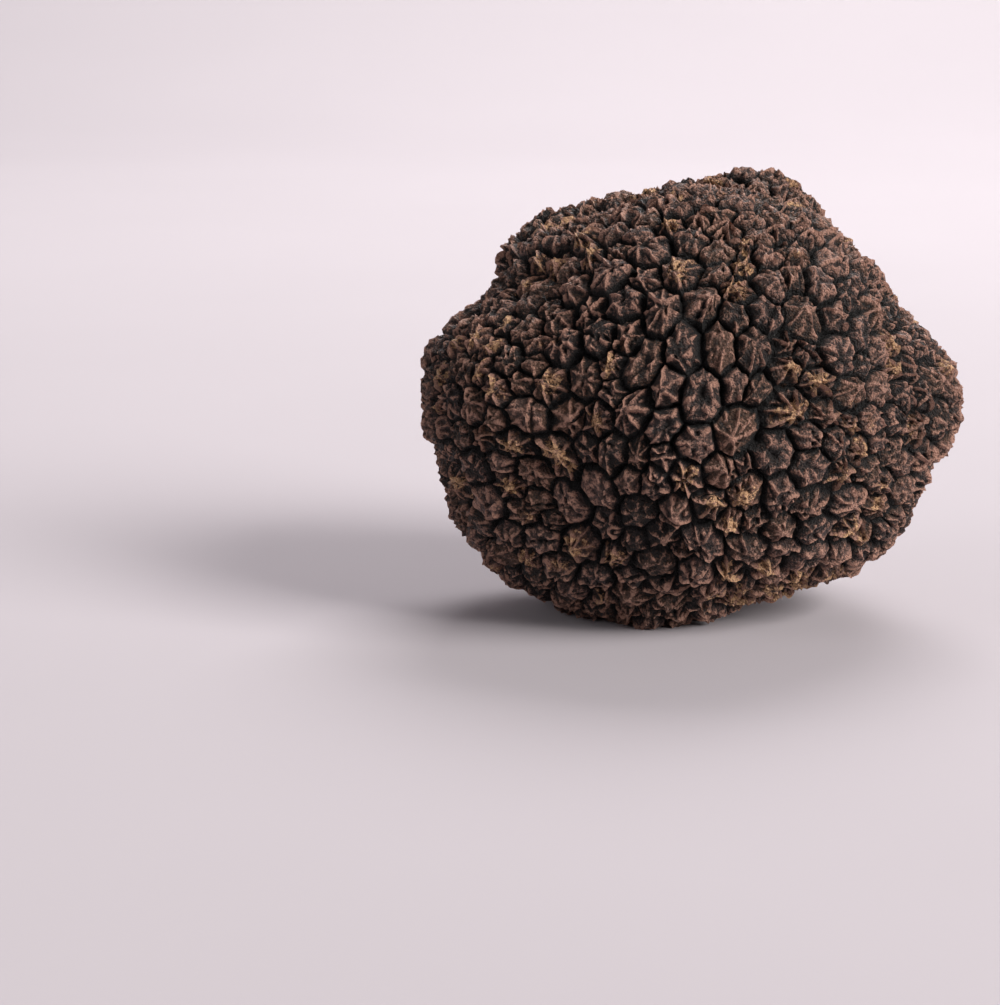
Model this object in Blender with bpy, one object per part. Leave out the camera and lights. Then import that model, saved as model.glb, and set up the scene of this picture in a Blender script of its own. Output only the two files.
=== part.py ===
"""A whole black truffle, about 90 mm across: one lobed tuber that grew as a single piece. Its skin is
covered with polygonal warts, each a low pyramid that points outwards, with grooves between them. It
rests on a small spot that the ground pressed flat."""

import math
import random

import bmesh
import bpy
import numpy as np
from mathutils import Vector, noise

MM = 0.001

# Driving dimensions, in metres. The origin is on the ground, under the middle of the tuber.
HEART = (0.0, 0.0, 36 * MM)  # every point of the skin can be seen from here
LOBES = {  # name: (centre, half-axes)
    "core": ((1 * MM, -1 * MM, 39 * MM), (34 * MM, 36 * MM, 33 * MM)),
    "foot": ((-8 * MM, -1 * MM, 22 * MM), (22 * MM, 25 * MM, 21 * MM)),
    "left_shoulder": ((-23 * MM, 0.0, 39 * MM), (22 * MM, 27 * MM, 18 * MM)),
    "left_flank": ((-21 * MM, 0.0, 26 * MM), (20 * MM, 24 * MM, 20 * MM)),
    "upper_left_ledge": ((-22 * MM, 10 * MM, 58 * MM), (11 * MM, 14 * MM, 10 * MM)),
    "back_crest": ((-6 * MM, 16 * MM, 57 * MM), (20 * MM, 14 * MM, 13 * MM)),
    "top_knob": ((9 * MM, 16 * MM, 63 * MM), (12 * MM, 12 * MM, 11 * MM)),
    "right_shoulder": ((11 * MM, 1 * MM, 49 * MM), (16 * MM, 24 * MM, 17 * MM)),
    "right_bulge": ((25 * MM, -2 * MM, 38 * MM), (17 * MM, 18 * MM, 13 * MM)),
    "lower_right": ((18 * MM, 0.0, 25 * MM), (17 * MM, 22 * MM, 16 * MM)),
    "back_swell": ((8 * MM, 20 * MM, 35 * MM), (25 * MM, 18 * MM, 23 * MM)),
}
LOBE_BLEND = 2 * MM  # how softly one lobe runs into the next
LUMP_HEIGHT = 0.9 * MM  # shallow swellings all over the tuber
LUMP_SIZE = 17 * MM
FURROW_DEPTH = 2.8 * MM  # a fold over the top, from the left ledge to the knob's right side
FURROW_WIDTH = 4 * MM
FURROW_LEAN = math.radians(16)  # how far the fold's plane leans back
HOLLOW_TOWARDS = (0.35, 0.9, 0.1)  # a shallow hollow in the back
HOLLOW_DEPTH = 3 * MM
HOLLOW_WIDTH = 11 * MM
FLAT_SPOT_DEPTH = 2.9 * MM  # how much of the underside is pressed flat

WART_SPACING = 5.0 * MM  # between the tips of neighbouring warts
WART_VARIETY = 0.33  # share of the spacing by which warts differ
FRONT_GROWTH = 0.12  # share by which warts are larger on the front and smaller on the back
WART_RISE = 0.29  # height of a tip over its grooves, as a share of the wart's width
TIP_SHARE = 0.55  # how much of that height stands over the smooth body
TIP_LEAN = 0.2  # how far a tip wanders from its wart's middle, as a share of the wart's width
TIP_HEIGHTS = (0.75, 1.2)  # lowest and highest tip, as shares of the usual height
CORNER_DEPTHS = (0.6, 1.3)  # shallowest and deepest groove corner, as shares of the usual depth
SHORTEST_GROOVE = 0.6 * MM  # corners nearer than this meet in one
CLOSEST = 0.84  # least gap between two tips, as a share of their mean spacing
TRIES = 16000  # places tried while the skin is filled with warts
HALVINGS = 40  # steps that close in on the skin along a direction
NEAREST_SKIN = 10 * MM
FARTHEST_SKIN = 80 * MM
SEED = 23

SKIN_COLOUR = (0.028, 0.018, 0.015, 1.0)
SKIN_ROUGHNESS = 0.68


def lobe_distance(points, centre, half_axes):
    """Roughly how far each point is outside an ellipsoid, negative inside."""
    offset = points - np.array(centre)
    scaled = np.linalg.norm(offset / half_axes, axis=1)
    slope = np.linalg.norm(offset / np.square(half_axes), axis=1)
    return scaled * (scaled - 1) / np.maximum(slope, 1e-9)


def body_distance(points):
    """Roughly how far each point is outside the smooth body, with its lobes run together."""
    total = sum(np.exp(-lobe_distance(points, *lobe) / LOBE_BLEND) for lobe in LOBES.values())
    return -LOBE_BLEND * np.log(total)


def lumps(directions):
    """The height of the shallow swellings along each direction."""
    reach = HEART[2] / LUMP_SIZE
    return np.array([LUMP_HEIGHT * noise.noise(Vector(d) * reach) for d in directions])


def bell(distance, width):
    return np.exp(-np.square(distance / width))


def dents(directions, reach):
    """The depth of the furrow and the hollow along each direction, where the skin is at that reach."""
    across = np.array([0.0, math.cos(FURROW_LEAN), -math.sin(FURROW_LEAN)])
    on_top = np.clip((directions[:, 2] - 0.3) / 0.4, 0, 1)
    furrow = FURROW_DEPTH * on_top * bell(reach * (directions @ across), FURROW_WIDTH)
    towards = np.array(Vector(HOLLOW_TOWARDS).normalized())
    aside = reach * np.linalg.norm(directions - towards, axis=1)
    return furrow + HOLLOW_DEPTH * bell(aside, HOLLOW_WIDTH)


def body_points(directions):
    """Where the smooth skin is, seen from the heart along each direction."""
    low = np.full(len(directions), NEAREST_SKIN)
    high = np.full(len(directions), FARTHEST_SKIN)
    for _ in range(HALVINGS):
        middle = (low + high) / 2
        inside = body_distance(HEART + directions * middle[:, None]) < 0
        low = np.where(inside, middle, low)
        high = np.where(inside, high, middle)
    reach = low + lumps(directions) - dents(directions, low)
    return HEART + directions * reach[:, None]


def unit(vectors):
    return vectors / np.linalg.norm(vectors, axis=1, keepdims=True)


def wart_directions(generator):
    """Directions of the warts: places are tried at random, and one is kept where no wart is too near."""
    tried = unit(generator.normal(size=(TRIES, 3)))
    places = body_points(tried)
    widths = WART_SPACING * generator.uniform(1 - WART_VARIETY, 1 + WART_VARIETY, TRIES)
    widths *= 1 - FRONT_GROWTH * tried[:, 1]
    kept = []
    for index in range(TRIES):
        gaps = np.linalg.norm(places[kept] - places[index], axis=1)
        if not kept or (gaps > CLOSEST * (widths[kept] + widths[index]) / 2).all():
            kept.append(index)
    return tried[kept]


def cells_around(directions):
    """A closed mesh on the unit ball with one polygon around each direction: the hull's dual."""
    hull = bmesh.new()
    for direction in directions:
        hull.verts.new(direction)
    bmesh.ops.convex_hull(hull, input=hull.verts)
    bmesh.ops.recalc_face_normals(hull, faces=hull.faces)
    mesh = bpy.data.meshes.new("cells")
    hull.to_mesh(mesh)
    hull.free()
    carrier = bpy.data.objects.new("cells", mesh)
    bpy.context.scene.collection.objects.link(carrier)
    carrier.modifiers.new("dual", "NODES").node_group = dual_nodes()
    graph = bpy.context.evaluated_depsgraph_get()
    cells = bpy.data.meshes.new_from_object(carrier.evaluated_get(graph))
    bpy.data.objects.remove(carrier)
    return cells


def dual_nodes():
    """A node tree that swaps a mesh's points and faces."""
    tree = bpy.data.node_groups.new("dual", "GeometryNodeTree")
    tree.interface.new_socket("Geometry", in_out="INPUT", socket_type="NodeSocketGeometry")
    tree.interface.new_socket("Geometry", in_out="OUTPUT", socket_type="NodeSocketGeometry")
    start = tree.nodes.new("NodeGroupInput")
    dual = tree.nodes.new("GeometryNodeDualMesh")
    end = tree.nodes.new("NodeGroupOutput")
    tree.links.new(start.outputs[0], dual.inputs["Mesh"])
    tree.links.new(dual.outputs[0], end.inputs[0])
    return tree


def raise_warts(body, draws):
    """Sinks the corners of each polygon, and pokes the polygon's middle out to make a tip."""
    corners = list(body.verts)
    size = {}
    for face in body.faces:
        size[face] = math.sqrt(face.calc_area())
    sink = {v: np.mean([size[f] for f in v.link_faces]) for v in corners}
    out_of = {v: (v.co - Vector(HEART)).normalized() for v in corners}
    tips = []
    for face in list(body.faces):
        width = size[face]
        normal = face.normal.copy()
        lean = Vector([draws.uniform(-1, 1) for _ in range(3)]) * TIP_LEAN * width
        lean -= normal * lean.dot(normal)
        rise = WART_RISE * TIP_SHARE * width * draws.uniform(*TIP_HEIGHTS)
        tips.append((face.calc_center_median() + lean + normal * rise, face))
    for vertex in corners:
        depth = WART_RISE * (1 - TIP_SHARE) * sink[vertex] * draws.uniform(*CORNER_DEPTHS)
        vertex.co -= out_of[vertex] * depth
    for place, face in tips:
        made = bmesh.ops.poke(body, faces=[face])
        made["verts"][0].co = place


def press_flat(body):
    """Moves the body so that its underside dips below the ground, and presses that part flat."""
    lowest = min(vertex.co.z for vertex in body.verts)
    for vertex in body.verts:
        vertex.co.z = max(vertex.co.z - lowest - FLAT_SPOT_DEPTH, 0.0)


def centre_on_ground(body):
    """Slides the body so that the middle of its box is over the origin."""
    for axis in (0, 1):
        spread = [vertex.co[axis] for vertex in body.verts]
        middle = (min(spread) + max(spread)) / 2
        for vertex in body.verts:
            vertex.co[axis] -= middle


def truffle_mesh():
    cells = cells_around(wart_directions(np.random.default_rng(SEED)))
    body = bmesh.new()
    body.from_mesh(cells)
    bpy.data.meshes.remove(cells)
    directions = unit(np.array([vertex.co for vertex in body.verts]))
    for vertex, place in zip(body.verts, body_points(directions)):
        vertex.co = place
    bmesh.ops.remove_doubles(body, verts=body.verts, dist=SHORTEST_GROOVE)
    bmesh.ops.recalc_face_normals(body, faces=body.faces)
    body.normal_update()
    raise_warts(body, random.Random(SEED))
    press_flat(body)
    centre_on_ground(body)
    bmesh.ops.recalc_face_normals(body, faces=body.faces)
    mesh = bpy.data.meshes.new("truffle")
    body.to_mesh(mesh)
    body.free()
    return mesh


def skin_material():
    material = bpy.data.materials.new("truffle_skin")
    material.use_nodes = True
    shader = material.node_tree.nodes["Principled BSDF"]
    shader.inputs["Base Color"].default_value = SKIN_COLOUR
    shader.inputs["Roughness"].default_value = SKIN_ROUGHNESS
    shader.inputs["Metallic"].default_value = 0.0
    material.diffuse_color = SKIN_COLOUR
    return material


def clear_scene():
    for thing in list(bpy.data.objects):
        bpy.data.objects.remove(thing)


def main():
    clear_scene()
    collection = bpy.data.collections.new("black_truffle")
    bpy.context.scene.collection.children.link(collection)
    mesh = truffle_mesh()
    mesh.materials.append(skin_material())
    truffle = bpy.data.objects.new("truffle", mesh)
    collection.objects.link(truffle)


main()
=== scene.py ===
"""The looks of a whole black truffle: its warty skin, and the pale table that it lies on.

The file is laid out as an add-on and run as a script. The solid of the truffle comes from model.glb. It
gives each wart as a low pyramid, and the skin is grown over it: every face of a pyramid is cut into small
triangles, which geometry nodes then raise and sink into ridges, hollows, grooves and blunt tips."""

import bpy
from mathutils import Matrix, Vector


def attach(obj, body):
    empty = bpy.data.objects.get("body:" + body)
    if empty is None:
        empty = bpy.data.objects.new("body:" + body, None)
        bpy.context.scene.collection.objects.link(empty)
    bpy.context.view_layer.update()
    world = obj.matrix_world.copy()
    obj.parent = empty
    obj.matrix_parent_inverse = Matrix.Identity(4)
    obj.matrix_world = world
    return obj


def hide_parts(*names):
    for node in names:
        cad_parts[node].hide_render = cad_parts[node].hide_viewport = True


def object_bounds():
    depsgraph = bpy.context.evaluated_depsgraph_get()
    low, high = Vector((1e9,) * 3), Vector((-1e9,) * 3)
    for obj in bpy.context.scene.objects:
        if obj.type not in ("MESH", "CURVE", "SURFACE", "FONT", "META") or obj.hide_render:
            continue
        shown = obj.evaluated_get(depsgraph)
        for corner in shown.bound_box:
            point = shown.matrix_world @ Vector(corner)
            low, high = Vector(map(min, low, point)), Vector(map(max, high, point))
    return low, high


bl_info = {
    "name": "Black truffle",
    "version": (1, 0, 0),
    "blender": (4, 5, 0),
    "location": "3D View > Sidebar > Truffle",
    "description": "Grows the warty skin of a black truffle and lays it on a pale table",
    "category": "Add Mesh",
}

import math
from collections import deque

import bmesh
import bpy
import numpy as np
from mathutils import Matrix, Vector

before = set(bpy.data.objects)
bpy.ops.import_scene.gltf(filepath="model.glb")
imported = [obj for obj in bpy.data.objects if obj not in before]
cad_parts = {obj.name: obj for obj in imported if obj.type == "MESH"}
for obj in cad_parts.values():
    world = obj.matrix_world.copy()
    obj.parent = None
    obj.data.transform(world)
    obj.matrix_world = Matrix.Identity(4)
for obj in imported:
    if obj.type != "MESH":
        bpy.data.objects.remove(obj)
CAD_BOX = [list(corner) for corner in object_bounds()]

MM = 0.001
NODE = "truffle"
BODY = "root"
HEART = Vector((0.0, 0.0, (CAD_BOX[0][2] + CAD_BOX[1][2]) / 2))  # all of the skin can be seen from here
MERGE = 0.001 * MM  # corners of the solid's loose triangles that are one point
FLAT = 0.01 * MM  # anything lower than this belongs to the flat spot
CUTS = 6  # small triangles along each side of a pyramid's face
UV_MAP = "OFBake"
UV_MARGIN = 0.02
RIDGE_STRENGTHS = (0.45, 1.0)  # faintest and boldest ridge
FOLD_SHARES = (0.3, 0.42, 0.28)  # shares of the faces with one, two and three hollows side by side
SPLIT_SHARES = (0.42, 0.25)  # shares of the warts that a first and a second crack cross
FARTHEST = 10 * MM  # stands for no crack at all
SHARP_ANGLE = math.radians(32)  # steeper edges between small triangles stay crisp
# the skin's colour also uses these heights for painted shade in low places and painted highlight on high ones
HEIGHTS = {  # attribute: (rounds of smoothing, the height that counts as 1)
    "fine_height": (3, 0.10 * MM),
    "broad_height": (40, 0.50 * MM),
}
SEED = 11


# ---------------------------------------------------------------- sizes and colours


def length(name, description, value):
    return bpy.props.FloatProperty(
        name=name, description=description, default=value, min=0.0, precision=5, unit="LENGTH"
    )


def share(name, description, value):
    return bpy.props.FloatProperty(
        name=name, description=description, default=value, min=0.0, max=1.0, subtype="FACTOR"
    )


def colour(name, description, value):
    return bpy.props.FloatVectorProperty(
        name=name, description=description, default=value, size=3, min=0.0, max=1.0, subtype="COLOR"
    )


class TruffleSkinSettings(bpy.types.PropertyGroup):
    groove_depth: length("Groove depth", "How far the grooves between warts sink", 1.35 * MM)
    hollow_depth: length("Hollow depth", "How far a face sinks between the ridges beside it", 0.95 * MM)
    crest_height: length("Crest height", "How far the ridges stand out", 0.26 * MM)
    bulge: share("Bulge", "How far the fullest warts swell, as a share of their height", 0.55)
    blunt_share: share("Blunt share", "Share of the warts whose tip is worn off", 0.5)
    split_depth: length("Split depth", "Depth of the cracks across split warts", 0.9 * MM)
    split_width: length("Split width", "Half the width of such a crack", 0.26 * MM)
    wander: length("Wander", "How far ridges and grooves stray from straight lines", 0.42 * MM)
    wander_size: length("Wander size", "Length of one stray", 1.9 * MM)
    lump_height: length("Lump height", "Height of the knobs on the faces", 0.36 * MM)
    lump_size: length("Lump size", "Size of the knobs on the faces", 1.25 * MM)
    grain_height: length("Grain height", "Depth of the finest grain", 0.15 * MM)
    grain_size: length("Grain size", "Size of the finest grain", 0.5 * MM)
    # painted shade: the near-black colour laid where shade falls, deep in the grooves, low hollows and cracks
    painted_shade: colour("Cavity", "Colour deep in the grooves", (0.0022, 0.0015, 0.0015))
    dark: colour("Dark skin", "The darkest of the skin's browns", (0.0080, 0.0050, 0.0043))
    brown: colour("Brown skin", "The warm brown of some warts", (0.080, 0.040, 0.0235))
    mauve: colour("Mauve skin", "The greyer brown of the others", (0.062, 0.035, 0.029))
    # painted highlight: the paler colour laid on high edges and ridges, where light catches
    ridge: colour("Ridge", "Colour of high edges", (0.44, 0.236, 0.172))
    rust: colour("Rust", "Colour around a rubbed tip", (0.19, 0.085, 0.040))
    worn: colour("Worn tip", "Colour where a tip is rubbed through", (0.70, 0.420, 0.230))
    roughness: share("Roughness", "How matt the skin is", 0.6)


class TruffleStageSettings(bpy.types.PropertyGroup):
    table: colour("Table", "Colour of the table and the backdrop", (0.49, 0.458, 0.488))
    camera_distance: length("Camera distance", "From the camera to the truffle's middle", 0.55)
    camera_height: bpy.props.FloatProperty(
        name="Camera height", description="Angle above the table", default=math.radians(12), subtype="ANGLE"
    )
    view_width: length("View width", "Width of the view at the truffle", 0.1625)
    aside: length("Aside", "How far right of the view's middle the truffle lies", 0.031)
    above: length("Above", "How far over the view's middle the truffle lies", 0.0173)


# ---------------------------------------------------------------- laying nodes


class Wiring:
    """Lays nodes in a tree. Each method adds one node and gives its output."""

    def __init__(self, tree):
        self.tree = tree

    def node(self, kind, **settings):
        made = self.tree.nodes.new(kind)
        for name, value in settings.items():
            setattr(made, name, value)
        return made

    def feed(self, socket, value):
        if isinstance(value, bpy.types.NodeSocket):
            self.tree.links.new(value, socket)
        elif value is not None:
            socket.default_value = value

    def maths(self, operation, *values, clamp=False):
        made = self.node("ShaderNodeMath", operation=operation, use_clamp=clamp)
        for socket, value in zip(made.inputs, values):
            self.feed(socket, value)
        return made.outputs[0]

    def add(self, first, *others):
        for other in others:
            first = self.maths("ADD", first, other)
        return first

    def times(self, first, *others):
        for other in others:
            first = self.maths("MULTIPLY", first, other)
        return first

    def less(self, first, second):
        return self.maths("SUBTRACT", first, second)

    def power(self, base, exponent):
        return self.maths("POWER", base, exponent)

    def vectors(self, operation, *values, scale=None):
        made = self.node("ShaderNodeVectorMath", operation=operation)
        for socket, value in zip(made.inputs, values):
            self.feed(socket, value)
        if scale is not None:
            self.feed(made.inputs["Scale"], scale)
        return made.outputs["Vector"]

    def apart(self, vector):
        made = self.node("ShaderNodeSeparateXYZ")
        self.feed(made.inputs[0], vector)
        return made.outputs

    def cells(self, place, scale, feature="F1", jitter=1.0):
        """Distance from the nearest of many scattered points, or from the border between two."""
        made = self.node("ShaderNodeTexVoronoi", feature=feature)
        self.feed(made.inputs["Vector"], place)
        self.feed(made.inputs["Scale"], scale)
        self.feed(made.inputs["Randomness"], jitter)
        return made.outputs["Distance"]

    def span(self, value, low, high, to_low=0.0, to_high=1.0):
        """Value eased from one range to another, and held at its ends."""
        made = self.node("ShaderNodeMapRange", interpolation_type="SMOOTHSTEP")
        for socket, given in zip(made.inputs, (value, low, high, to_low, to_high)):
            self.feed(socket, given)
        return made.outputs["Result"]

    def noise(self, place, scale, detail=2.0, roughness=0.5, output="Fac", distortion=0.0):
        made = self.node("ShaderNodeTexNoise", noise_dimensions="3D")
        given = {"Vector": place, "Scale": scale, "Detail": detail, "Roughness": roughness}
        for name, value in given.items():
            self.feed(made.inputs[name], value)
        self.feed(made.inputs["Distortion"], distortion)
        return made.outputs[output]

    def about(self, value, strength):
        """How far a noise is from its middle, times a strength."""
        return self.times(self.less(value, 0.5), strength)

    def blend(self, factor, first, second):
        made = self.node("ShaderNodeMix", data_type="RGBA", clamp_factor=True)
        self.feed(made.inputs["Factor"], factor)
        self.feed(made.inputs["A"] if made.inputs["A"].type == "RGBA" else made.inputs[6], first)
        self.feed(made.inputs["B"] if made.inputs["B"].type == "RGBA" else made.inputs[7], second)
        return made.outputs[2]


def rgba(colour_value):
    return (*colour_value, 1.0)


# ---------------------------------------------------------------- the skin's mesh


def merged_solid():
    """Points and triangles of the truffle's solid, with its loose triangles joined."""
    joined = bmesh.new()
    joined.from_mesh(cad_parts[NODE].data)
    bmesh.ops.remove_doubles(joined, verts=joined.verts, dist=MERGE)
    joined.verts.index_update()
    points = np.array([vertex.co for vertex in joined.verts])
    triangles = np.array([[vertex.index for vertex in face.verts] for face in joined.faces])
    joined.free()
    return points, triangles


def tip_corners(points, triangles):
    """Which corner of each triangle is its wart's tip: 0, 1 or 2, or -1 on the flat spot. The highest
    point is a tip, and each triangle tells its neighbours which of their corners is one."""
    beside = {}
    for index, triangle in enumerate(triangles):
        for side in range(3):
            ends = frozenset((triangle[side], triangle[(side + 1) % 3]))
            beside.setdefault(ends, []).append(index)
    on_flat = (points[triangles][:, :, 2] < FLAT).all(axis=1)
    highest = int(points[:, 2].argmax())
    first = int(np.flatnonzero((triangles == highest).any(axis=1))[0])
    corner = np.full(len(triangles), -1)
    corner[first] = list(triangles[first]).index(highest)
    waiting = deque([first])
    while waiting:
        index = waiting.popleft()
        tip = triangles[index][corner[index]]
        for side in range(3):
            ends = frozenset((triangles[index][side], triangles[index][(side + 1) % 3]))
            for other in beside[ends]:
                if other == index or corner[other] >= 0 or on_flat[other]:
                    continue
                row = list(triangles[other])
                opposite = next(k for k in range(3) if row[k] not in ends)
                corner[other] = row.index(tip) if tip in ends else opposite
                waiting.append(other)
    return corner


def outward_directions(points, triangles):
    """The direction away from the tuber at each point, the same over a whole wart and its neighbours."""
    corners = points[triangles]
    facing = np.cross(corners[:, 1] - corners[:, 0], corners[:, 2] - corners[:, 0])
    around = np.zeros_like(points)
    for side in range(3):
        np.add.at(around, triangles[:, side], facing)
    smoothed = np.zeros_like(points)
    for side in range(3):
        np.add.at(smoothed, triangles[:, side], around[triangles].sum(axis=1))
    return smoothed / np.linalg.norm(smoothed, axis=1, keepdims=True)


def small_triangles():
    """Weights of the points that cut a triangle into CUTS squared, and their triangles."""
    rows = [(i, j) for i in range(CUTS + 1) for j in range(CUTS + 1 - i)]
    index = {row: k for k, row in enumerate(rows)}
    faces = []
    for i, j in rows:
        if i + j < CUTS:
            faces.append((index[i, j], index[i + 1, j], index[i, j + 1]))
        if i + j < CUTS - 1:
            faces.append((index[i + 1, j], index[i + 1, j + 1], index[i, j + 1]))
    weights = np.array([(i, j, CUTS - i - j) for i, j in rows]) / CUTS
    return weights, np.array(faces)


def unfolded(places, sides):
    """Places on the unit ball spread over a square, as on an unfolded octahedron. Sides holds the signs
    of the octahedron's face that a place counts as on."""
    flat = places / np.abs(places * 1.0).sum(axis=1, keepdims=True)
    x, y = flat[:, 0], flat[:, 1]
    below = sides[:, 2] < 0
    u = np.where(below, sides[:, 0] * (1 - sides[:, 1] * y), x)
    v = np.where(below, sides[:, 1] * (1 - sides[:, 0] * x), y)
    return 0.5 + (0.5 - UV_MARGIN) * np.stack([u, v], axis=1)


def bake_map(mesh, points, faces):
    """A map of the whole skin with no overlaps, from where each face lies round the heart."""
    seen = points - np.array(HEART)
    seen /= np.linalg.norm(seen, axis=1, keepdims=True)
    middles = seen[faces].mean(axis=1)
    signs = np.where(middles >= 0, 1.0, -1.0)
    places = seen[faces].reshape(-1, 3)
    layer = mesh.uv_layers.new(name=UV_MAP)
    layer.uv.foreach_set("vector", unfolded(places, np.repeat(signs, 3, axis=0)).ravel())


def wart_facts(points, triangles, corner):
    """For each triangle: its points with the tip first, three draws for its wart, and its wart's size."""
    draws = np.random.default_rng(SEED).random((len(points), 3))
    turn = np.maximum(corner, 0)[:, None]
    turned = np.take_along_axis(triangles, (turn + np.arange(3)) % 3, axis=1)
    tips = turned[:, 0]
    base = points[turned[:, 1:]].mean(axis=1)
    rise = np.linalg.norm(points[tips] - base, axis=1)
    total = np.bincount(tips, weights=rise, minlength=len(points))
    count = np.maximum(np.bincount(tips, minlength=len(points)), 1)
    return turned, draws[tips], (total / count)[tips]


def crests(weights, turned):
    """How near a ridge each small point is, 1 on it. Ridges run from the tip to each corner, and a wide
    face has one or two fainter ones between."""
    generator = np.random.default_rng(SEED + 1)
    strength = generator.uniform(*RIDGE_STRENGTHS, turned.max() + 1)
    folds = generator.choice((1, 2, 3), size=len(turned), p=FOLD_SHARES)
    faintness = generator.uniform(0.1, 0.8, len(turned))
    rest = weights[:, 1] + weights[:, 2]
    across = np.where(rest > 0, weights[:, 2] / np.maximum(rest, 1e-9), 0.5)[None, :]
    crest = 1 - np.abs(np.sin(folds[:, None] * math.pi * across))
    crest *= 1 - faintness[:, None] * np.sin(math.pi * across)
    return crest * (strength[turned[:, 1]][:, None] * (1 - across) + strength[turned[:, 2]][:, None] * across)


def splits(places, points, turned, outward):
    """How far each small point is from the two cracks that may cross its wart."""
    generator = np.random.default_rng(SEED + 2)
    away = outward[turned[:, 0]]
    distances = []
    for split_share in SPLIT_SHARES:
        toward = generator.normal(size=(len(points), 3))[turned[:, 0]]
        toward -= away * (toward * away).sum(axis=1, keepdims=True)
        toward /= np.linalg.norm(toward, axis=1, keepdims=True)
        aside = generator.uniform(-0.8 * MM, 0.8 * MM, len(points))[turned[:, 0]]
        whole = generator.random(len(points))[turned[:, 0]] > split_share
        offset = places - points[turned[:, 0]][:, None, :]
        distance = np.abs(np.einsum("tkx,tx->tk", offset, toward) - aside[:, None])
        distances.append(np.where(whole[:, None], FARTHEST, distance))
    return np.minimum(*distances)


def skin_mesh():
    """The solid's faces cut small. Each point knows how near its wart's tip, ridges and cracks it is."""
    points, triangles = merged_solid()
    corner = tip_corners(points, triangles)
    outward = outward_directions(points, triangles)
    turned, draws, width = wart_facts(points, triangles, corner)
    weights, small = small_triangles()
    places = np.einsum("kc,tcx->tkx", weights, points[turned])
    split = splits(places, points, turned, outward)
    places = places.reshape(-1, 3)
    _, first, index = np.unique(
        np.round(places / MERGE).astype(np.int64), axis=0, return_index=True, return_inverse=True
    )
    index = index.reshape(len(turned), -1)
    faces = index[:, small].reshape(-1, 3)
    tip = np.tile(weights[:, 0], len(turned))
    tip[np.repeat(corner < 0, len(weights))] = 0.0
    away = np.einsum("kc,tcx->tkx", weights, outward[turned]).reshape(-1, 3)
    away /= np.linalg.norm(away, axis=1, keepdims=True)

    mesh = bpy.data.meshes.new("truffle_skin")
    mesh.from_pydata(places[first], [], faces)
    bake_map(mesh, places[first], faces)
    values = {
        "tip_share": tip,
        "crest": crests(weights, turned).ravel(),
        "split": split.ravel(),
        "wart_width": np.repeat(width, len(weights)),
    }
    for name, value in values.items():
        layer = mesh.attributes.new(name, "FLOAT", "POINT")
        layer.data.foreach_set("value", value[first].astype(np.float32))
    for name, value in {"outward": away, "wart_draws": np.repeat(draws, len(weights), axis=0)}.items():
        layer = mesh.attributes.new(name, "FLOAT_VECTOR", "POINT")
        layer.data.foreach_set("vector", value[first].astype(np.float32).ravel())
    return mesh


def smoothed_points(places, edges, rounds):
    """The points after each has moved to the middle of its neighbours so many times."""
    ends = np.concatenate([edges, edges[:, ::-1]])
    count = np.bincount(ends[:, 0], minlength=len(places))[:, None]
    for _ in range(rounds):
        total = np.stack(
            [np.bincount(ends[:, 0], weights=places[ends[:, 1], axis], minlength=len(places)) for axis in range(3)],
            axis=1,
        )
        places = (places + total / count) / 2
    return places


def note_heights(mesh):
    """Gives each point its height over the skin around it, near by and farther out."""
    places = np.empty(len(mesh.vertices) * 3)
    mesh.vertices.foreach_get("co", places)
    places = places.reshape(-1, 3)
    edges = np.empty(len(mesh.edges) * 2, dtype=np.int64)
    mesh.edges.foreach_get("vertices", edges)
    edges = edges.reshape(-1, 2)
    for name, (rounds, unit_height) in HEIGHTS.items():
        around = smoothed_points(places, edges, rounds)
        facing = np.empty(len(mesh.vertices) * 3)
        mesh.vertices.foreach_get("normal", facing)
        height = ((places - around) * facing.reshape(-1, 3)).sum(axis=1) / unit_height
        layer = mesh.attributes.new(name, "FLOAT", "POINT")
        layer.data.foreach_set("value", height.astype(np.float32))


# ---------------------------------------------------------------- the relief


RELIEF_INPUTS = (
    "groove_depth",
    "hollow_depth",
    "crest_height",
    "bulge",
    "blunt_share",
    "split_depth",
    "split_width",
    "wander",
    "wander_size",
    "lump_height",
    "lump_size",
    "grain_height",
    "grain_size",
)


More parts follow.
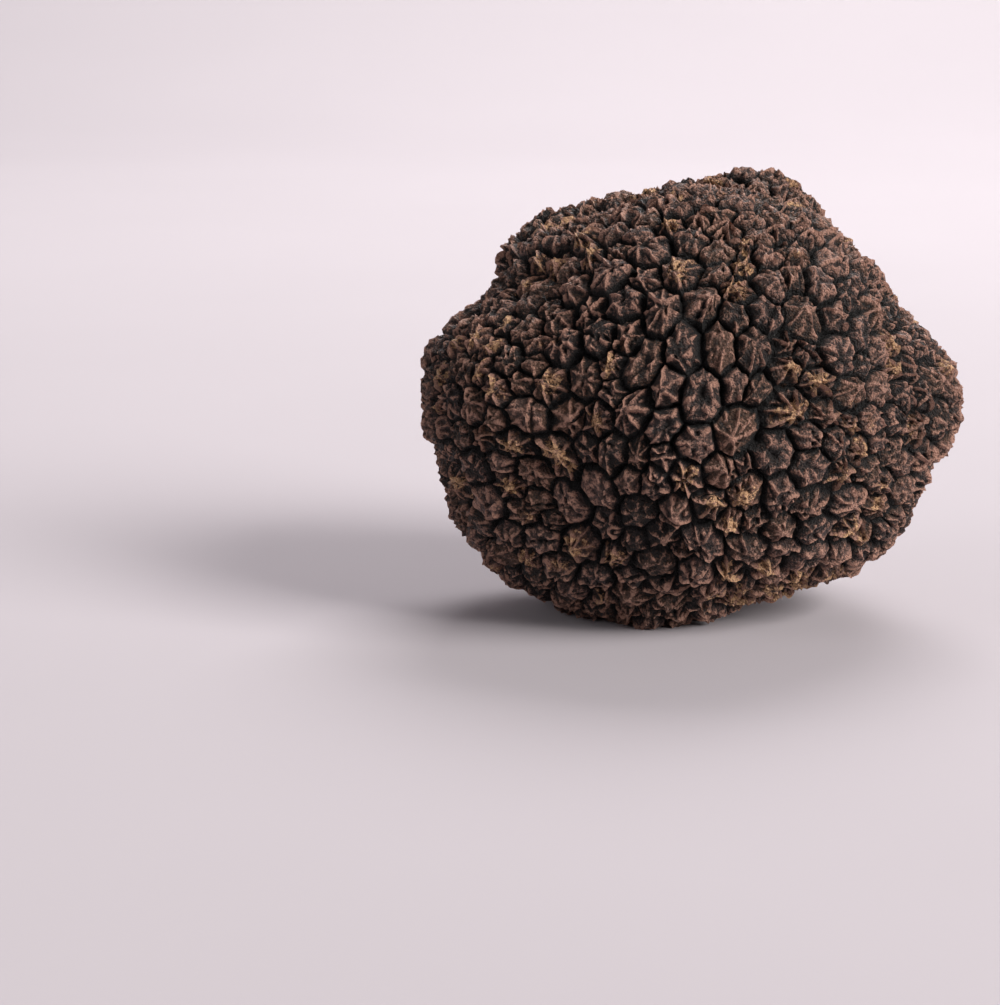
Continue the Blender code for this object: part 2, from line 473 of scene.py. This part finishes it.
def relief_tree():
    """Geometry nodes that raise and sink the skin's points into warts."""
    tree = bpy.data.node_groups.new("wart_relief", "GeometryNodeTree")
    tree.interface.new_socket("Geometry", in_out="INPUT", socket_type="NodeSocketGeometry")
    for name in RELIEF_INPUTS:
        tree.interface.new_socket(name, in_out="INPUT", socket_type="NodeSocketFloat")
    tree.interface.new_socket("material", in_out="INPUT", socket_type="NodeSocketMaterial")
    tree.interface.new_socket("Geometry", in_out="OUTPUT", socket_type="NodeSocketGeometry")
    w = Wiring(tree)
    given = w.node("NodeGroupInput").outputs

    def attribute(name, kind="FLOAT"):
        made = w.node("GeometryNodeInputNamedAttribute", data_type=kind)
        made.inputs["Name"].default_value = name
        return made.outputs["Attribute"]

    tip = attribute("tip_share")
    crest = attribute("crest")
    split = attribute("split")
    width = attribute("wart_width")
    outward = attribute("outward", "FLOAT_VECTOR")
    draws = w.apart(attribute("wart_draws", "FLOAT_VECTOR"))
    place = w.node("GeometryNodeInputPosition").outputs[0]

    base = w.less(1.0, tip)
    flank = w.times(4.0, tip, base)
    shoulder = w.times(2.6, base, w.power(tip, 0.5))
    swell = w.times(given["bulge"], width, 0.5, shoulder, draws["Z"])
    ridge = w.times(given["crest_height"], crest, flank)
    starry = w.times(draws["Y"], draws["Y"])
    hollow = w.times(given["hollow_depth"], w.less(1.0, crest), flank, w.add(0.2, w.times(1.5, starry)))
    uneven = w.noise(place, 260.0, detail=1.0)
    trench = w.times(given["groove_depth"], w.power(base, 7.0), w.span(uneven, 0.3, 0.7, 0.45, 1.5))
    blunt = w.maths("LESS_THAN", draws["X"], given["blunt_share"])
    start = w.add(0.45, w.times(0.3, draws["Y"]))
    worn = w.times(blunt, w.maths("MAXIMUM", w.less(tip, start), 0.0), width, 0.5)
    crack = w.span(split, 0.0, given["split_width"], 1.0, 0.0)
    crack = w.times(crack, given["split_depth"], w.span(tip, 0.0, 0.35))

    lumps = w.cells(place, w.maths("DIVIDE", 1.0, given["lump_size"]))
    lumps = w.times(w.less(0.5, lumps), 2.0, given["lump_height"])
    grain = w.noise(place, w.maths("DIVIDE", 1.0, given["grain_size"]), detail=2.0)
    grain = w.times(w.less(grain, 0.5), 4.0, given["grain_height"])

    height = w.add(swell, ridge, lumps, grain)
    height = w.less(height, w.add(hollow, trench, worn, crack))
    stray = w.noise(
        place, w.maths("DIVIDE", 1.0, given["wander_size"]), detail=3.0, roughness=0.6, output="Color"
    )
    stray = w.vectors("SUBTRACT", stray, (0.5, 0.5, 0.5))
    stray = w.vectors("SCALE", stray, scale=w.times(4.0, given["wander"]))
    moved = w.vectors("ADD", w.vectors("SCALE", outward, scale=height), stray)
    lift = w.span(w.apart(place)["Z"], 0.0, 0.9 * MM)
    moved = w.vectors("ADD", place, w.vectors("SCALE", moved, scale=lift))
    low, high = (Vector(corner) for corner in CAD_BOX)
    moved = w.vectors("MAXIMUM", w.vectors("MINIMUM", moved, high), low)

    placed = w.node("GeometryNodeSetPosition")
    w.feed(placed.inputs["Geometry"], given["Geometry"])
    w.feed(placed.inputs["Position"], moved)
    whole = w.node("GeometryNodeRealizeInstances")
    w.feed(whole.inputs[0], placed.outputs[0])
    painted = w.node("GeometryNodeSetMaterial")
    w.feed(painted.inputs["Geometry"], whole.outputs[0])
    w.feed(painted.inputs["Material"], given["material"])
    end = w.node("NodeGroupOutput")
    w.feed(end.inputs[0], painted.outputs[0])
    return tree


def socket_identifiers(tree):
    return {
        item.name: item.identifier
        for item in tree.interface.items_tree
        if item.item_type == "SOCKET" and item.in_out == "INPUT"
    }


def grown(mesh, material, settings):
    """The mesh with its relief, as a plain mesh."""
    carrier = bpy.data.objects.new("skin_carrier", mesh)
    bpy.context.scene.collection.objects.link(carrier)
    modifier = carrier.modifiers.new("wart_relief", "NODES")
    modifier.node_group = relief_tree()
    sockets = socket_identifiers(modifier.node_group)
    for name in RELIEF_INPUTS:
        modifier[sockets[name]] = getattr(settings, name)
    modifier[sockets["material"]] = material
    graph = bpy.context.evaluated_depsgraph_get()
    made = bpy.data.meshes.new_from_object(carrier.evaluated_get(graph))
    bpy.data.objects.remove(carrier)
    return made


# ---------------------------------------------------------------- materials


def new_material(name):
    material = bpy.data.materials.new(name)
    material.use_nodes = True
    shader = material.node_tree.nodes["Principled BSDF"]
    return material, Wiring(material.node_tree), shader


def skin_material(settings):
    """Near-black skin with brown faces and tips rubbed through to tan, with painted highlights on the ridges and
    painted shade in the grooves and cracks.
    """
    material, w, shader = new_material("truffle_skin")

    def attribute(name, output="Fac"):
        return w.node("ShaderNodeAttribute", attribute_name=name).outputs[output]

    tip = attribute("tip_share")
    crest = attribute("crest")
    split = attribute("split")
    fine = attribute("fine_height")
    broad = attribute("broad_height")
    draws = w.apart(attribute("wart_draws", "Vector"))
    place = w.node("ShaderNodeTexCoord").outputs["Object"]
    patches = w.noise(place, 60.0, detail=2.0)
    mottle = w.noise(place, 520.0, detail=4.0, roughness=0.62)
    pores = w.noise(place, 1150.0, detail=3.0, roughness=0.6)
    grain = w.noise(place, 2600.0, detail=3.0, roughness=0.7)
    speckle = w.cells(place, 2900.0)
    stripes = w.maths("SINE", w.add(w.times(tip, 40.0), w.times(mottle, 16.0)))
    crumble = w.add(w.about(mottle, 0.9), w.about(pores, 1.5), w.about(grain, 2.4))

    hue = w.span(w.add(draws["Z"], w.about(mottle, 1.6)), 0.3, 0.7)
    pale = w.blend(hue, rgba(settings.brown), rgba(settings.mauve))
    wart_tone = w.add(w.about(draws["X"], 0.7), w.about(patches, 1.0))
    # tone is partly random and partly painted shade and highlight: lower places lean to the dark brown, higher ones
    # to the paler
    tone = w.add(crumble, wart_tone, w.times(0.22, broad), w.times(0.12, fine))
    skin = w.blend(w.span(tone, -0.28, 0.42), rgba(settings.dark), pale)
    # painted highlight: higher and sharper places, mainly the ridges, take the pale ridge colour; random tone
    # breaks it up
    high = w.add(w.times(0.30, fine), w.times(0.26, broad), w.times(0.5, crest, draws["Y"]))
    high = w.add(high, w.times(1.9, crumble), w.times(0.7, wart_tone))
    skin = w.blend(w.times(w.span(high, 0.45, 1.85), w.span(tip, 0.06, 0.25)), skin, rgba(settings.ridge))

    # painted shade: low places, mainly the grooves round the foot of each wart, take the near-black colour; random
    # crumble breaks its edge
    clear_of_shade = w.add(broad, w.times(0.35, fine), w.times(0.7, crumble), w.times(3.6, tip))
    skin = w.blend(w.span(clear_of_shade, -0.45, 0.35, 1.0, 0.0), skin, rgba(settings.painted_shade))
    # painted shade in the cracks across split warts: they take the same near-black colour
    crack = w.add(split, w.about(pores, 0.6 * MM))
    crack = w.times(w.span(crack, 0.05 * MM, 0.20 * MM, 1.0, 0.0), w.span(tip, 0.0, 0.25))
    skin = w.blend(crack, skin, rgba(settings.painted_shade))

    chosen = w.add(draws["Y"], w.about(patches, 2.0))
    reach = w.add(tip, w.about(mottle, 3.0))
    rubbed = w.times(w.span(chosen, 0.72, 0.90), w.span(reach, 0.30, 0.70))
    skin = w.blend(w.times(rubbed, w.span(pores, 0.38, 0.58)), skin, rgba(settings.rust))
    bare = w.add(w.about(pores, 1.6), w.about(grain, 1.8), w.times(0.02, fine), w.less(rubbed, 1.0))
    skin = w.blend(w.span(bare, -0.22, 0.20), skin, rgba(settings.worn))
    w.feed(shader.inputs["Base Color"], skin)

    rough = w.span(speckle, 0.15, 0.45, settings.roughness - 0.30, settings.roughness + 0.10)
    w.feed(shader.inputs["Roughness"], rough)
    shader.inputs["Specular IOR Level"].default_value = 0.5
    bump = w.node("ShaderNodeBump")
    bump.inputs["Strength"].default_value = 1.0
    bump.inputs["Distance"].default_value = 0.85 * MM
    relief = w.add(grain, pores, w.times(0.7, mottle), w.times(0.07, stripes), w.times(-0.4, speckle))
    w.feed(bump.inputs["Height"], relief)
    w.feed(shader.inputs["Normal"], bump.outputs[0])
    return material


def table_material(settings):
    """Matt pale card, with the faintest unevenness."""
    material, w, shader = new_material("table_card")
    place = w.node("ShaderNodeTexCoord").outputs["Object"]
    cloud = w.noise(place, 6.0, detail=3.0)
    paler = tuple(min(1.0, part * 1.02) for part in settings.table)
    tone = w.blend(w.span(cloud, 0.3, 0.7), rgba(settings.table), rgba(paler))
    w.feed(shader.inputs["Base Color"], tone)
    shader.inputs["Roughness"].default_value = 0.95
    shader.inputs["Specular IOR Level"].default_value = 0.05
    return material


# ---------------------------------------------------------------- operators


class TruffleBuildSkin(bpy.types.Operator):
    """Grow the truffle's warty skin over its solid"""

    bl_idname = "truffle.build_skin"
    bl_label = "Build the skin"

    def execute(self, context):
        settings = context.scene.truffle_skin
        mesh = grown(skin_mesh(), skin_material(settings), settings)
        note_heights(mesh)
        mesh.shade_smooth()
        mesh.set_sharp_from_angle(angle=SHARP_ANGLE)
        skin = bpy.data.objects.new("truffle_skin", mesh)
        context.scene.collection.objects.link(skin)
        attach(skin, BODY)
        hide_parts(NODE)
        return {"FINISHED"}


class TruffleBuildStage(bpy.types.Operator):
    """Lay the table and the backdrop, hang the lights and set up the camera"""

    bl_idname = "truffle.build_stage"
    bl_label = "Build the stage"

    def execute(self, context):
        settings = context.scene.truffle_stage
        build_table(context.scene, settings)
        build_lights(context.scene)
        build_camera(context.scene, settings)
        return {"FINISHED"}


def build_table(scene, settings):
    """A card that lies flat under the truffle and sweeps up behind it."""
    half_width, front, back, height, bend = 3.0, -3.0, 1.3, 1.8, 0.6
    profile = [(front, 0.0), (back - bend, 0.0)]
    turns = 16
    for step in range(1, turns):
        angle = math.pi / 2 * step / turns
        profile.append((back - bend + bend * math.sin(angle), bend - bend * math.cos(angle)))
    profile += [(back, bend), (back, height)]
    rows = bmesh.new()
    edges = []
    for y, z in profile:
        pair = [rows.verts.new((x, y, z)) for x in (-half_width, half_width)]
        edges.append(pair)
    for near, far in zip(edges, edges[1:]):
        rows.faces.new((near[0], near[1], far[1], far[0]))
    mesh = bpy.data.meshes.new("table_card")
    rows.to_mesh(mesh)
    rows.free()
    mesh.shade_smooth()
    mesh.materials.append(table_material(settings))
    table = bpy.data.objects.new("table_card", mesh)
    scene.collection.objects.link(table)


LAMPS = (  # name, place, what it lights, width, power in watts, colour
    ("lamp_over_back", (0.20, 0.70, 0.80), (0.0, 0.0, 0.04), 0.60, 9.5, (1.0, 0.97, 0.96)),
    ("lamp_left", (-2.40, -0.90, 1.18), (0.0, 0.0, 0.04), 1.20, 12.0, (1.0, 0.97, 0.97)),
    ("lamp_right", (2.24, -1.40, 1.58), (0.0, 0.0, 0.04), 1.60, 140.0, (1.0, 0.965, 0.935)),
)
SKY = (0.70, 0.645, 0.685)  # what the camera sees past the card
SKY_GLOW = 0.20  # how much of it falls on the truffle


def build_lights(scene):
    for name, place, target, width, power, tint in LAMPS:
        lamp = bpy.data.lights.new(name, "AREA")
        lamp.shape = "SQUARE"
        lamp.size = width
        lamp.energy = power
        lamp.color = tint
        hung = bpy.data.objects.new(name, lamp)
        hung.location = place
        hung.rotation_euler = (Vector(target) - Vector(place)).to_track_quat("-Z", "Y").to_euler()
        scene.collection.objects.link(hung)
    world = bpy.data.worlds.new("studio")
    world.use_nodes = True
    w = Wiring(world.node_tree)
    sky = world.node_tree.nodes["Background"]
    sky.inputs["Color"].default_value = rgba(SKY)
    seen = w.node("ShaderNodeLightPath").outputs["Is Camera Ray"]
    w.feed(sky.inputs["Strength"], w.span(seen, 0.0, 1.0, SKY_GLOW, 1.0))
    scene.world = world
    scene.view_settings.view_transform = "Standard"


def build_camera(scene, settings):
    """The truffle lies right of the view's middle and above it."""
    camera = bpy.data.cameras.new("camera")
    camera.sensor_fit = "HORIZONTAL"
    camera.sensor_width = 36.0
    camera.lens = camera.sensor_width * settings.camera_distance / settings.view_width
    slope = settings.camera_height
    ahead = Vector((0.0, math.cos(slope), -math.sin(slope)))
    up = Vector((0.0, math.sin(slope), math.cos(slope)))
    right = Vector((1.0, 0.0, 0.0))
    place = HEART - right * settings.aside - up * settings.above - ahead * settings.camera_distance
    held = bpy.data.objects.new("camera", camera)
    held.matrix_world = Matrix.Translation(place) @ Matrix((right, up, -ahead)).transposed().to_4x4()
    scene.collection.objects.link(held)
    scene.camera = held


class TruffleSidebar(bpy.types.Panel):
    """Lists the truffle's operators and settings"""

    bl_idname = "VIEW3D_PT_truffle"
    bl_label = "Black truffle"
    bl_space_type = "VIEW_3D"
    bl_region_type = "UI"
    bl_category = "Truffle"

    def draw(self, context):
        for settings, operator in (
            (context.scene.truffle_skin, TruffleBuildSkin),
            (context.scene.truffle_stage, TruffleBuildStage),
        ):
            box = self.layout.box()
            for name in type(settings).__annotations__:
                box.prop(settings, name)
            box.operator(operator.bl_idname)


CLASSES = (TruffleSkinSettings, TruffleStageSettings, TruffleBuildSkin, TruffleBuildStage, TruffleSidebar)


def register():
    for each in CLASSES:
        bpy.utils.register_class(each)
    bpy.types.Scene.truffle_skin = bpy.props.PointerProperty(type=TruffleSkinSettings)
    bpy.types.Scene.truffle_stage = bpy.props.PointerProperty(type=TruffleStageSettings)


def unregister():
    del bpy.types.Scene.truffle_stage
    del bpy.types.Scene.truffle_skin
    for each in reversed(CLASSES):
        bpy.utils.unregister_class(each)


def main():
    register()
    bpy.ops.truffle.build_stage()
    bpy.ops.truffle.build_skin()


if __name__ == "__main__":
    main()
